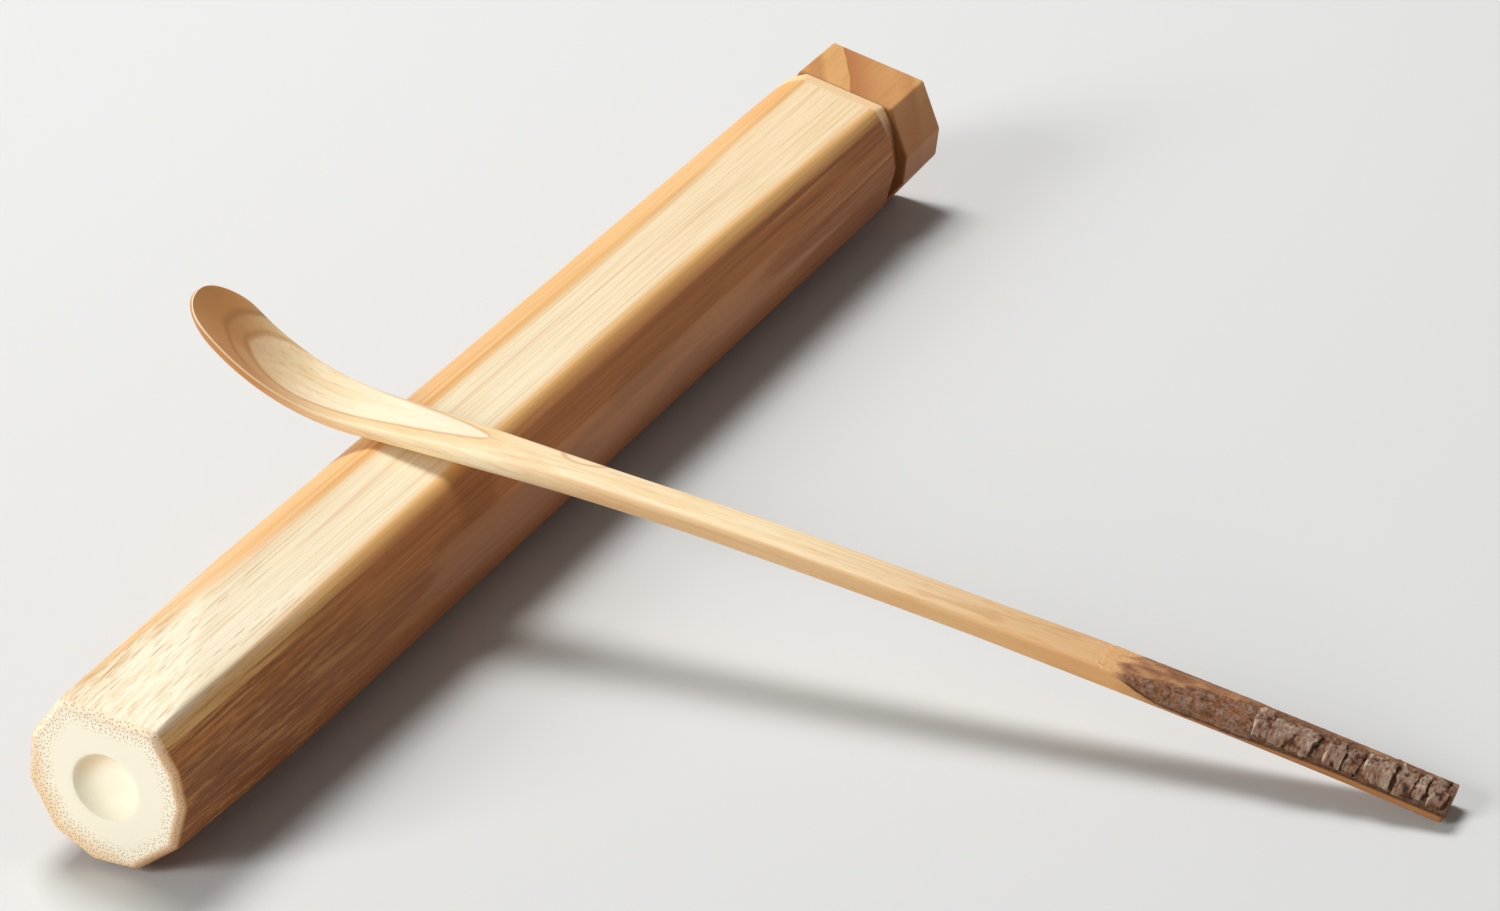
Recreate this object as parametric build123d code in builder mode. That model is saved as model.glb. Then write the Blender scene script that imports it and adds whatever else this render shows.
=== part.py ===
from build123d import *
import math
import os

# A carved tea scoop lying across the bamboo case that it is kept in.
# Millimetres. +Z is up, +Y runs along the case to its stopper, and the origin is the middle of the flat
# that the case lies on.

# Case: a bamboo culm closed by its own node
culm_radius = 12.75
tube_length = 216.0
culm_wall = 4.05
closed_end_thickness = 14.0
rest_flat_depth = 0.25
face_turn = 13.5
face_depth = 1.2
side_flat_turn = 47.0
side_flat_depth = 0.3
base_edge_break = 0.8
base_cup_radius = 4.7
base_cup_depth = 2.2
mouth_bevel_length = 2.9

# Knife cuts round each end of the case: degrees round from the planed face, depth at the end, run of the cut
base_cuts = [
    (-7.0, 2.3, 42.0),
    (46.0, 1.3, 58.0),
    (66.0, 1.5, 66.0),
    (92.0, 1.6, 60.0),
    (129.0, 1.5, 46.0),
    (166.0, 1.2, 45.0),
    (196.0, 1.3, 50.0),
    (230.0, 1.5, 52.0),
    (264.0, 1.4, 50.0),
    (294.0, 1.2, 48.0),
]
mouth_cuts = [
    (0.0, 1.75, 190.0),
    (48.0, 0.35, 58.0),
    (68.0, 0.55, 62.0),
    (92.0, 0.5, 55.0),
    (129.0, 0.5, 45.0),
    (166.0, 0.5, 40.0),
    (196.0, 0.7, 45.0),
    (230.0, 0.8, 50.0),
    (262.0, 0.4, 50.0),
]

# Bevel round the mouth: degrees round from the planed face, depth of the surface it meets, depth of the bevel
mouth_bevels = [
    (0.0, 1.75, 0.4),
    (48.0, 0.35, 0.3),
    (68.0, 0.55, 0.7),
    (92.0, 0.5, 0.9),
    (129.0, 0.5, 0.9),
    (166.0, 0.5, 0.9),
    (196.0, 0.7, 0.9),
    (230.0, 0.8, 0.9),
    (262.0, 0.4, 0.7),
    (296.0, 0.0, 0.25),
    (326.0, 0.0, 0.15),
]

# Stopper: a many-sided wooden head with a round plug
stopper_head_length = 13.1
stopper_proud = 0.55
stopper_corners = [-37.5, 37.5, 73.5, 93.5, 138.5, 192.5, 226.5, 258.5]
stopper_edge_break = 0.4
plug_length = 16.0
plug_clearance = 0.08
plug_lead = 1.2

# Scoop: an arched handle that runs into a bowl bent up at its tip
handle_span = 151.2
handle_rise = 2.25
handle_width = 6.4
handle_thickness = 3.3
handle_keel = 0.8
handle_crown = 0.15
neck_length = 4.0
bowl_bend_radius = 36.5
bowl_bend_angle = 48.0
bowl_width = 12.2
bowl_thickness = 2.1
bowl_keel = 0.45
bowl_hollow = 1.1
flare_start = 105.0
hollow_start = 140.0
flare_end = 177.0
tip_length = 7.5
tip_side_margin = 0.08
blade_stations = 20

# How the scoop lies: where it crosses the case and how far it is turned from square
crossing_from_base = 78.8
scoop_turn = 2.2
scoop_clearance = 0.1

# Bark left on the upper end of the handle
bark_length = 46.0
bark_thickness = 1.75
bark_side_tilt = 3.0
plate_ends = [0.4, 3.1, 4.7, 7.6, 12.0, 14.4, 17.8, 24.6, 26.9]
plate_height = 0.7
plate_crack = 0.4
plate_inset = 0.15

# Places worked out from the sizes
bore_radius = culm_radius - culm_wall
axis_height = culm_radius - rest_flat_depth
base_y = -tube_length / 2
mouth_y = tube_length / 2
up = Vector(0, 0, 1)


def outward(turn):
    """Direction out from the case's axis, turned round from the planed face."""
    angle = math.radians(face_turn + turn)
    return Vector(math.sin(angle), 0, math.cos(angle))


def cut_plane(turn, depth, run, end_y, inward):
    """Plane of a knife cut that is depth deep at the end and runs out after run."""
    normal = outward(turn) * run - Vector(0, 1, 0) * inward * depth
    foot = Vector(0, end_y, axis_height) + outward(turn) * (culm_radius - depth)
    return Plane(origin=foot, z_dir=normal)


def flat_plane(turn, depth):
    """Plane of a flat that runs the whole length of the case."""
    foot = Vector(0, 0, axis_height) + outward(turn) * (culm_radius - depth)
    return Plane(origin=foot, z_dir=outward(turn))


# Case body
mouth_plane = Plane(origin=(0, mouth_y, axis_height), x_dir=(1, 0, 0), z_dir=(0, 1, 0))
cup_sphere_radius = (base_cup_radius**2 + base_cup_depth**2) / (2 * base_cup_depth)

with BuildPart() as case_tube:
    with BuildSketch(mouth_plane):
        Circle(culm_radius)
    extrude(amount=-tube_length)
    split(bisect_by=flat_plane(0, face_depth), keep=Keep.BOTTOM)
    split(bisect_by=flat_plane(side_flat_turn, side_flat_depth), keep=Keep.BOTTOM)
    split(bisect_by=flat_plane(180 - face_turn, rest_flat_depth), keep=Keep.BOTTOM)
    for turn, depth, run in base_cuts:
        split(bisect_by=cut_plane(turn, depth, run, base_y, 1), keep=Keep.BOTTOM)
    for turn, depth, run in mouth_cuts:
        split(bisect_by=cut_plane(turn, depth, run, mouth_y, -1), keep=Keep.BOTTOM)
    for turn, depth, bevel_depth in mouth_bevels:
        bevel_end = depth + bevel_depth
        bevel_run = bevel_end * mouth_bevel_length / bevel_depth
        split(bisect_by=cut_plane(turn, bevel_end, bevel_run, mouth_y, -1), keep=Keep.BOTTOM)
    for turn, depth, run in base_cuts:
        edge_depth = depth + base_edge_break
        split(bisect_by=cut_plane(turn, edge_depth, edge_depth, base_y, 1), keep=Keep.BOTTOM)
    with Locations(mouth_plane):
        Hole(bore_radius, tube_length - closed_end_thickness)
    with Locations((0, base_y + base_cup_depth - cup_sphere_radius, axis_height)):
        Sphere(cup_sphere_radius, mode=Mode.SUBTRACT)
case_tube.part.label = "case_tube"

# Stopper
corner_radius = culm_radius + stopper_proud
corner_points = []
for turn in stopper_corners:
    corner = outward(turn) * corner_radius
    corner_points.append((corner.X, corner.Z))
stopper_plane = Plane(origin=(0, mouth_y, axis_height), x_dir=(1, 0, 0), z_dir=(0, -1, 0))

with BuildPart() as case_stopper:
    with BuildSketch(stopper_plane):
        Polygon(*corner_points, align=None)
    extrude(amount=-stopper_head_length)
    chamfer(case_stopper.faces().sort_by(Axis.Y)[-1].edges(), length=stopper_edge_break)
    with BuildSketch(stopper_plane):
        Circle(bore_radius - plug_clearance)
    extrude(amount=plug_length)
    chamfer(case_stopper.faces().sort_by(Axis.Y)[0].edges(), length=plug_lead)
case_stopper.part.label = "case_stopper"

# The scoop's own frame: its chord runs from the handle's end on the floor to the crest of the case
crest_angle = math.radians(face_turn) - math.acos((culm_radius - face_depth) / culm_radius)
crest = Vector(culm_radius * math.sin(crest_angle), 0, axis_height + culm_radius * math.cos(crest_angle))
lean = math.asin((crest.Z + scoop_clearance) / handle_span)
heading = Vector(-math.cos(math.radians(scoop_turn)), -math.sin(math.radians(scoop_turn)), 0)
sideways = heading.cross(up)
chord = heading * math.cos(lean) + up * math.sin(lean)
above = up * math.cos(lean) - heading * math.sin(lean)
rest_point = Vector(crest.X, base_y + crossing_from_base, crest.Z + scoop_clearance)
handle_end = rest_point - chord * handle_span

with BuildLine() as keel_line:
    handle_arc = ThreePointArc((0, 0), (handle_span / 2, handle_rise), (handle_span, 0))
    neck = Line(handle_arc @ 1, (handle_arc @ 1) + (handle_arc % 1) * neck_length)
    bowl_arc = JernArc(neck @ 1, neck % 1, bowl_bend_radius, bowl_bend_angle)


def on_scoop(point):
    """Place of a point drawn in the scoop's side view."""
    return handle_end + chord * point.X + above * point.Y


def station(run, fraction):
    """Plane square to the keel, with its Y up out of the scoop's top and its X to the nearer side."""
    along = run % fraction
    return Plane(
        origin=on_scoop(run @ fraction),
        x_dir=sideways * -1,
        z_dir=chord * along.X + above * along.Y,
    )


def blade_station(distance):
    """Station at a distance along the keel from the handle's end."""
    for run in (handle_arc, neck):
        if distance <= run.length:
            return station(run, distance / run.length)
        distance -= run.length
    return station(bowl_arc, min(distance / bowl_arc.length, 1))


def ease(distance, start, end):
    """Smooth rise from 0 at start to 1 at end."""
    share = min(max((distance - start) / (end - start), 0), 1)
    return share * share * (3 - 2 * share)


def between(handle_value, bowl_value, share):
    """Value a share of the way from the handle's to the bowl's."""
    return handle_value + (bowl_value - handle_value) * share


blade_length = handle_arc.length + neck.length + bowl_arc.length
tip_plane = blade_station(blade_length)
tip_back = blade_station(blade_length - tip_length)
tip_run = (tip_plane.origin - tip_back.origin).normalized()
outline_plane = Plane(origin=tip_back.origin, x_dir=tip_run, z_dir=tip_run.cross(sideways))
outline_reach = (tip_plane.origin - tip_back.origin).length

with BuildPart() as blade:
    for index in range(blade_stations):
        distance = blade_length * index / (blade_stations - 1)
        flare = ease(distance, flare_start, flare_end)
        hollowing = ease(distance, hollow_start, flare_end)
        half = between(handle_width, bowl_width, flare) / 2
        rim = between(handle_thickness, bowl_thickness, hollowing)
        keel = between(handle_keel, bowl_keel, hollowing)
        dip = between(-handle_crown, bowl_hollow, hollowing)
        with BuildSketch(blade_station(distance)):
            with BuildLine():
                under = ThreePointArc((-half, keel), (0, 0), (half, keel))
                near_side = Line(under @ 1, (half, rim))
                top = ThreePointArc(near_side @ 1, (0, rim - dip), (-half, rim))
                Line(top @ 1, under @ 0)
            make_face()
    loft()
    with BuildSketch(outline_plane):
        with Locations((outline_reach, 0)):
            Rectangle(2 * outline_reach, 2 * bowl_width)
        Ellipse(outline_reach, bowl_width / 2 + tip_side_margin, mode=Mode.SUBTRACT)
    extrude(amount=bowl_width, both=True, mode=Mode.SUBTRACT)

# The bark's bed slopes down from the handle's top, where the bark runs out, to the handle's end
foot_station = blade_station(bark_length)
heel_station = blade_station(0)
bark_foot = foot_station.origin + foot_station.y_dir * handle_thickness
bark_heel = heel_station.origin + heel_station.y_dir * (handle_thickness - bark_thickness)
bed_run = (bark_foot - bark_heel).normalized()
bed_across = (sideways * -1).rotate(Axis((0, 0, 0), bed_run), bark_side_tilt)
bark_bed = Plane(origin=bark_foot, x_dir=bed_run, z_dir=bed_run.cross(bed_across))

with BuildPart() as scoop:
    add(blade.part)
    split(bisect_by=bark_bed, keep=Keep.BOTTOM)
scoop.part.label = "scoop"

with BuildPart() as scoop_bark:
    add(blade.part)
    split(bisect_by=bark_bed, keep=Keep.TOP)
scoop_bark.part.label = "scoop_bark"

# Plates of outer bark standing on the bark's top
plate_side = Plane(origin=handle_end, x_dir=chord, z_dir=sideways)
plate_top = handle_thickness + plate_height

with BuildPart() as bark_plates:
    for low, high in zip(plate_ends, plate_ends[1:]):
        ends = [low + plate_crack / 2, high - plate_crack / 2]
        feet = [handle_arc @ (end / handle_arc.length) for end in ends]
        with BuildSketch(plate_side):
            Polygon(
                (feet[0].X, feet[0].Y + handle_thickness / 2),
                (feet[0].X, feet[0].Y + plate_top),
                (feet[1].X, feet[1].Y + plate_top),
                (feet[1].X, feet[1].Y + handle_thickness / 2),
                align=None,
            )
        extrude(amount=handle_width / 2 - plate_inset, both=True)
    add(blade.part, mode=Mode.SUBTRACT)
bark_plates.part.label = "bark_plates"

os.makedirs("parts", exist_ok=True)
export_step(case_tube.part, "parts/case_tube.step")
export_step(case_stopper.part, "parts/case_stopper.step")
export_step(scoop.part, "parts/scoop.step")
export_step(scoop_bark.part, "parts/scoop_bark.step")
export_step(bark_plates.part, "parts/bark_plates.step")
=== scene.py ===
import math

import bmesh
import bpy
from bpy.props import FloatProperty, FloatVectorProperty, PointerProperty
from bpy.types import Operator, Panel, PropertyGroup
from mathutils import Matrix, Vector, noise


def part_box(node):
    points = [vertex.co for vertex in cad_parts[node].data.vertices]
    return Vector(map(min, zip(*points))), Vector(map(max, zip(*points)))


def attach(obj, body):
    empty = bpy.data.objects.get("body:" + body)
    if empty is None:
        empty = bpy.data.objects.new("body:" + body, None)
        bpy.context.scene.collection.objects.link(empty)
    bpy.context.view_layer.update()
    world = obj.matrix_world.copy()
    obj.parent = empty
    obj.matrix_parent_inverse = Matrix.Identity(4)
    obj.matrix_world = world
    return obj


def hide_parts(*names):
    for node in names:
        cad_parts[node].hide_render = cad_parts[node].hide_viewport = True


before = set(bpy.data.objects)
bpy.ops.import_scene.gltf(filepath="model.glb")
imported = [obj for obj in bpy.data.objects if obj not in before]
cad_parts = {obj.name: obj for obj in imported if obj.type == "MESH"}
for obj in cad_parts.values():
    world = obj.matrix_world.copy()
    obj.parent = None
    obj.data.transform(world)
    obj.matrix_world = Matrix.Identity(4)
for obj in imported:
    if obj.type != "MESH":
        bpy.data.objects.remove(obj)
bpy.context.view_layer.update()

bl_info = {
    "name": "Tea scoop on its case",
    "version": (1, 0, 0),
    "blender": (4, 5, 0),
    "location": "3D View > Sidebar > Tea scoop",
    "description": "Models a carved tea scoop that lies across its bamboo case",
    "category": "Object",
}

MM = 0.001
QUARTER = math.pi / 2.0
XYZ = ((1.0, 0.0, 0.0), (0.0, 1.0, 0.0), (0.0, 0.0, 1.0))
UP = Vector(XYZ[2])

# The case lies along Y, from its closed end to its mouth.
BASE_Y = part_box("case_tube")[0].y
MOUTH_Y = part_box("case_tube")[1].y

# Knife cuts round the two ends of the case: turn from the planed face in degrees, then depth at the end
# and length in millimetres.
BASE_CUTS = (
    (-7.0, 2.3, 42.0), (46.0, 1.3, 58.0), (66.0, 1.5, 66.0), (92.0, 1.6, 60.0), (129.0, 1.5, 46.0),
    (166.0, 1.2, 45.0), (196.0, 1.3, 50.0), (230.0, 1.5, 52.0), (264.0, 1.4, 50.0), (294.0, 1.2, 48.0),
)
MOUTH_CUTS = (
    (0.0, 1.75, 190.0), (48.0, 0.35, 58.0), (68.0, 0.55, 62.0), (92.0, 0.5, 55.0), (129.0, 0.5, 45.0),
    (166.0, 0.5, 40.0), (196.0, 0.7, 45.0), (230.0, 0.8, 50.0), (262.0, 0.4, 50.0),
)

# Bevel round the mouth: turn from the planed face in degrees, then depth of the surface that it meets and
# of the bevel itself in millimetres.
MOUTH_BEVELS = (
    (0.0, 1.75, 0.4), (48.0, 0.35, 0.3), (68.0, 0.55, 0.7), (92.0, 0.5, 0.9), (129.0, 0.5, 0.9),
    (166.0, 0.5, 0.9), (196.0, 0.7, 0.9), (230.0, 0.8, 0.9), (262.0, 0.4, 0.7), (296.0, 0.0, 0.25),
    (326.0, 0.0, 0.15),
)

# Stretches of the case's outside: start and end from the closed end, and length of the faces, in millimetres.
CASE_STRETCHES = (
    (0.12, 3.0, 0.2), (3.0, 66.0, 0.9), (66.0, 152.0, 2.2), (152.0, 212.0, 1.0), (212.0, 216.0, 0.2),
)

# The case's mesh: steps round it, points down the hollow, rings in the bore, and where the rings lie on the
# closed end, on the mouth and on the bore's floor, as shares of the way across.
CASE_TURNS = 288
CUP_POINTS = 14
BORE_RINGS = 16
END_SHARES = (0.1, 0.3, 0.5, 0.7, 0.85, 0.95, 0.985)
MOUTH_SHARES = (0.9, 0.6, 0.3, 0.06)
FLOOR_SHARES = (0.66, 0.33, 0.0)

# The hollow in the closed end: how flat its floor is, and its lip's width and height. Then the bore's edge.
CUP_FLATNESS = 3.5
CUP_LIP = 0.1 * MM
LIP_HEIGHT = 0.05 * MM
BORE_BREAK = 0.2 * MM

# A cut counts for points that it faces by at least this cosine, where it comes within this margin of the
# culm's surface. Points in the bore and the hollow, up to a margin, are left alone and get a large inset.
CUT_FACING = 0.5
CUT_MARGIN = 0.6 * MM
INNER_MARGIN = 0.01 * MM
INNER_INSET = 5.0

# Corners of the stopper's head, in degrees from the planed face, and sides of its plug.
STOPPER_CORNERS = (-37.5, 37.5, 73.5, 93.5, 138.5, 192.5, 226.5, 258.5)
PLUG_SIDES = 96

# Rings of the blade up to its tip and on the tip. Then how far the second ring is from the handle's end and
# the last one from the tip's.
BLADE_RINGS = 130
TIP_RINGS = 12
END_GAP = 0.15 * MM
TIP_GAP = 0.02 * MM

# The blade's tip: how much of the hollow runs out, how far its top falls, where its width stops shrinking and
# how square its two corners are.
TIP_FILL = 0.75
TIP_FALL = 0.8 * MM
TIP_LAST = 0.998
NEAR_FULLNESS = 2.5
FAR_FULLNESS = 2.0

# Where the blade's edges are rounder, in millimetres from the end of the handle: coming in and going out.
ROUND_HANDLE = (46.0, 66.0, 120.0, 162.0)
ROUND_NECK = (92.0, 122.0, 146.0, 166.0)
ROUND_BOWL = (130.0, 170.0)

# Rounding of the blade's upper and lower edges in millimetres: all along, then what the handle adds, then the
# neck above and the bowl below. Then the most of the half width that a rounding takes.
UPPER_EDGE = (0.26, 0.7, 0.6)
LOWER_EDGE = (0.35, 1.05, 0.55)
EDGE_LIMIT = 0.45

# How much thinner the bowl and the tip are along their edges, in millimetres.
THIN_BOWL = 0.2
THIN_TIP = 0.75

# Points on the blade's outline: across the underside and the top of one half, and round each edge.
UNDER_POINTS = 5
TOP_POINTS = 6
EDGE_POINTS = 4

# The bark's bed: how far its start slants, how much deeper it is along the near side, where that comes in
# across and along the handle, and where the bed runs out, in millimetres.
BARK_SLANT = 0.1
BED_DEEPER = 0.25
DEEPER_ACROSS = (0.0, 3.0)
DEEPER_ALONG = (14.0, 30.0)
BED_SLOPE = (0.3, 9.5)

# The inner bark, in millimetres: length of its mesh, how far it stays inside the blade's sides and how much
# narrower its start is, from where to where.
BARK_LENGTH = 50.4
SIDE_GAP = 0.03
START_NARROW = 0.9
START_PLACE = (-0.6, 1.4)

# Its walls, in millimetres: how far the foot is sunk, least height, radii of the near and far corners and the
# most of the wall that a corner takes, and depth and top and bottom of the groove along the foot.
FOOT_SUNK = 0.05
WALL_LEAST = 0.3
NEAR_CORNER = 0.75
FAR_CORNER = 0.4
CORNER_MOST = 0.85
FOOT_GROOVE = 0.16
GROOVE_PLACE = (0.6, 0.18)

# Its mesh: rings along it, and points up its walls, round a corner and on half of its top.
BARK_RINGS = 400
NEAR_WALL = 12
FAR_WALL = 6
CORNER_POINTS = 9
BARK_POINTS = 26

# Far edge of the flaky band on the inner bark: distance from the end of the handle and side, in millimetres.
FLAKE_EDGE = (
    (26.0, -2.5), (28.3, -2.1), (30.8, -0.9), (33.5, -0.7), (36.3, 0.1), (39.5, 1.3), (43.3, 1.9),
    (45.5, 3.4),
)

# Plates of outer bark: start and end from the end of the handle, height, far edge and near edge, in
# millimetres. The near edge is measured over the top and on down the side.
BARK_PLATES = (
    (0.4, 3.1, 0.42, -2.3, 3.8),
    (3.1, 4.7, 0.50, -1.5, 3.4),
    (4.7, 7.4, 0.52, -1.9, 3.9),
    (7.7, 11.9, 0.62, -1.5, 3.6),
    (12.0, 14.4, 0.14, -1.2, 4.2),
    (14.4, 17.3, 0.58, -1.3, 3.8),
    (18.1, 24.5, 0.62, -0.9, 3.8),
    (24.5, 26.9, 0.56, -1.9, 3.7),
)

# The plates' mesh: length of a step in millimetres, fewest steps and points across. Then how far a plate's
# broken edge and its underside are sunk into the inner bark, in millimetres, and the seeds of their noise.
PLATE_STEP = 0.08
PLATE_STEPS = 24
PLATE_POINTS = 56
EDGE_SUNK = 0.35
PLATE_SUNK = 0.6
FIRST_SEED = 11.0
SEED_STEP = 3.7

# Linear colours: warm wood at the bowl's tip, cream wood and end grain at the case's closed end, and white.
WARM_TIP = (0.52, 0.2, 0.04)
CREAM = (1.0, 0.92, 0.7)
END_GRAIN = (0.99, 0.93, 0.75)
WHITE = (1.0, 1.0, 1.0)

# The leaf that the growth lines draw in the bowl, in millimetres from the end of the handle: where it is
# widest and how far it reaches back.
LEAF_PLACE = 165.0
LEAF_REACH = 27.5

# A growth band of the stopper: width in millimetres, and share of dark wood at places across it.
BAND_WIDTH = 15.0
GROWTH_BAND = (
    (0.0, 0.95), (0.1, 0.8), (0.3, 0.45), (0.5, 0.3), (0.68, 0.6), (0.76, 0.0), (0.99, 0.0), (1.0, 0.95),
)

# The photograph's camera: place and line of sight, and focal length and picture width in pixels.
CAMERA_PLACE = (0.2950, -0.5433, 0.3297)
CAMERA_SIGHT = (-0.3803, 0.8012, -0.4621)
FOCAL_PIXELS = 4907.0
PHOTO_WIDTH = 1500

# The stage: width of the camera's sensor in millimetres, and where the lights point and the floor's radius in
# metres.
SENSOR_WIDTH = 36.0
LIGHT_AIM = (0.03, 0.0, 0.015)
FLOOR_RADIUS = 6.0


def length(name, description, millimetres):
    """A length property with its default in millimetres."""
    return FloatProperty(
        name=name, description=description, default=millimetres * MM, unit="LENGTH", precision=5
    )


def angle(name, description, degrees):
    """An angle property with its default in degrees."""
    return FloatProperty(
        name=name, description=description, default=math.radians(degrees), subtype="ANGLE"
    )


def power(name, description, watts):
    """A property for the power of a light."""
    return FloatProperty(name=name, description=description, default=watts, unit="POWER")


def linear(channel):
    """A display channel from 0 to 255 as a linear value."""
    share = channel / 255.0
    if share <= 0.04045:
        return share / 12.92
    return ((share + 0.055) / 1.055) ** 2.4


def colour(name, description, display):
    """A colour property with its default given as it looks on a display."""
    return FloatVectorProperty(
        name=name, description=description, subtype="COLOR", size=3, min=0.0, max=1.0,
        default=tuple(linear(channel) for channel in display),
    )


class CaseSizes(PropertyGroup):
    """Sizes of the bamboo case."""

    culm_radius: length("Culm radius", "Outside radius of the bamboo culm", 12.75)
    axis_height: length("Axis height", "Height of the culm's axis over the table", 12.5)
    bore_radius: length("Bore radius", "Inside radius of the culm", 8.7)
    closed_end: length("Closed end", "Thickness of the node that closes the case", 14.0)
    face_turn: angle("Face turn", "How far the planed face leans to the side", 13.5)
    face_depth: length("Face depth", "Depth of the planed face", 1.2)
    side_turn: angle("Side flat turn", "Turn of the narrow flat beside the planed face", 47.0)
    side_depth: length("Side flat depth", "Depth of the narrow flat beside the planed face", 0.3)
    rest_depth: length("Rest depth", "Depth of the flat that the case lies on", 0.25)
    edge_softness: length("Edge softness", "How far the edges between cuts are worn round", 0.07)
    base_break: length("Base edge", "Broken edge round the closed end", 0.8)
    bevel_length: length("Mouth bevel length", "Length of the bevel round the mouth", 2.9)
    cup_radius: length("Cup radius", "Radius of the hollow in the closed end", 4.7)
    cup_depth: length("Cup depth", "Depth of the hollow in the closed end", 2.2)


class StopperSizes(PropertyGroup):
    """Sizes of the case's stopper."""

    head_length: length("Head length", "Length of the many-sided head", 13.1)
    corner_radius: length("Corner radius", "Distance of the head's corners from its axis", 13.3)
    edge_break: length("Edge break", "Width of the broken edges of the head", 0.3)
    plug_radius: length("Plug radius", "Radius of the plug in the bore", 8.62)
    plug_length: length("Plug length", "Length of the plug in the bore", 16.0)
    plug_lead: length("Plug lead", "Chamfer at the end of the plug", 1.2)


class ScoopSizes(PropertyGroup):
    """Sizes of the scoop's wooden blade."""

    handle_span: length("Handle span", "Straight distance from the end to the crossing", 151.2)
    handle_rise: length("Handle rise", "Rise of the handle's arch", 2.25)
    handle_width: length("Handle width", "Width of the handle", 6.4)
    handle_thickness: length("Handle thickness", "Thickness of the handle", 3.3)
    handle_keel: length("Handle keel", "Roundness of the handle's underside", 0.8)
    handle_crown: length("Handle crown", "Roundness of the handle's top", 0.15)
    neck_length: length("Neck length", "Straight run before the bowl's bend", 4.0)
    bend_radius: length("Bend radius", "Radius of the bowl's bend", 36.5)
    bend_angle: angle("Bend angle", "How far the bowl bends up", 48.0)
    bowl_width: length("Bowl width", "Greatest width of the bowl", 12.2)
    bowl_thickness: length("Bowl thickness", "Thickness of the bowl at its rim", 2.1)
    bowl_keel: length("Bowl keel", "Roundness of the bowl's underside", 0.45)
    bowl_hollow: length("Bowl hollow", "Depth of the bowl's hollow", 1.1)
    flare_start: length("Flare start", "Where the handle starts to widen", 105.0)
    hollow_start: length("Hollow start", "Where the top starts to hollow out", 140.0)
    flare_end: length("Flare end", "Where the bowl is widest", 177.0)
    tip_length: length("Tip length", "Length of the rounded tip", 7.5)
    crossing: length("Crossing", "Distance of the scoop from the case's closed end", 78.8)
    clearance: length("Clearance", "Gap between the scoop and the case", 0.1)
    turn: angle("Turn", "How far the scoop is turned from square across the case", 2.2)


class BarkSizes(PropertyGroup):
    """Sizes of the bark left on the handle."""

    reach: length("Reach", "How far the bark goes along the handle", 48.6)
    depth: length("Depth", "Thickness of the inner bark", 1.75)
    scale: length("Scale size", "Size of the loose flakes on the inner bark", 1.7)
    flake: length("Flake height", "Height of the loose flakes on the inner bark", 0.34)
    crust: length("Crust height", "Unevenness of the outer bark's plates", 0.16)


class Finishes(PropertyGroup):
    """Colours of the woods and the barks."""

    scoop_pale: colour("Scoop, pale", "Palest wood of the scoop", (253, 234, 194))
    scoop_tan: colour("Scoop, tan", "Warmer wood of the scoop", (240, 204, 146))
    scoop_ring: colour("Scoop, ring", "Growth lines of the scoop", (204, 142, 78))
    bamboo_pale: colour("Bamboo, pale", "Inner wood of the bamboo", (255, 239, 204))
    bamboo_tan: colour("Bamboo, tan", "Wood under the bamboo's skin", (236, 180, 106))
    bamboo_skin: colour("Bamboo, skin", "Outer skin of the bamboo", (188, 113, 58))
    bamboo_fibre: colour("Bamboo, fibre", "Dark fibres of the bamboo", (122, 70, 34))
    stopper_light: colour("Stopper, light", "Light wood of the stopper", (221, 166, 100))
    stopper_dark: colour("Stopper, dark", "Dark wood of the stopper", (176, 106, 52))
    bark_red: colour("Inner bark", "Smooth inner bark", (138, 84, 47))
    bark_gold: colour("Inner bark, thin", "Thin edge of the inner bark", (220, 168, 112))
    bark_grey: colour("Outer bark", "Plates of the outer bark", (142, 118, 101))
    # The crest colour also serves as painted highlight on the plates' high parts.
    bark_crest: colour("Outer bark, crest", "Worn crests of the outer bark", (212, 186, 156))
    bark_crack: colour("Outer bark, crack", "Cracks in the bark", (44, 28, 20))


class StageSettings(PropertyGroup):
    """Floor and light."""

    floor: colour("Floor", "Colour of the floor", (220, 220, 218))
    key_power: power("Key power", "Power of the main light", 14.5)
    front_power: power("Front power", "Power of the front light", 28.0)
    sky: FloatProperty(name="Sky", description="Strength of the even light all round", default=0.14)


class TeaScoopSettings(PropertyGroup):
    """Everything that can be set."""

    case: PointerProperty(name="Case", description="Sizes of the case", type=CaseSizes)
    stopper: PointerProperty(name="Stopper", description="Sizes of the stopper", type=StopperSizes)
    scoop: PointerProperty(name="Scoop", description="Sizes of the scoop", type=ScoopSizes)
    bark: PointerProperty(name="Bark", description="Sizes of the bark", type=BarkSizes)
    finish: PointerProperty(name="Finishes", description="Colours", type=Finishes)
    stage: PointerProperty(name="Stage", description="Floor and light", type=StageSettings)


def arithmetic(operation):
    """An operator on shader values and its reflected form, each of which adds a maths node."""

    def forward(self, other):
        return self.shader.node("ShaderNodeMath", {"operation": operation}, {0: self, 1: other})

    def reflected(self, other):
        return self.shader.node("ShaderNodeMath", {"operation": operation}, {0: other, 1: self})

    return forward, reflected


class Value:
    """A shader socket that takes part in Python arithmetic."""

    def __init__(self, shader, socket):
        self.shader = shader
        self.socket = socket

    __add__, __radd__ = arithmetic("ADD")
    __sub__, __rsub__ = arithmetic("SUBTRACT")
    __mul__, __rmul__ = arithmetic("MULTIPLY")
    __truediv__, __rtruediv__ = arithmetic("DIVIDE")
    __pow__, __rpow__ = arithmetic("POWER")
    __mod__, __rmod__ = arithmetic("FLOORED_MODULO")


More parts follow.
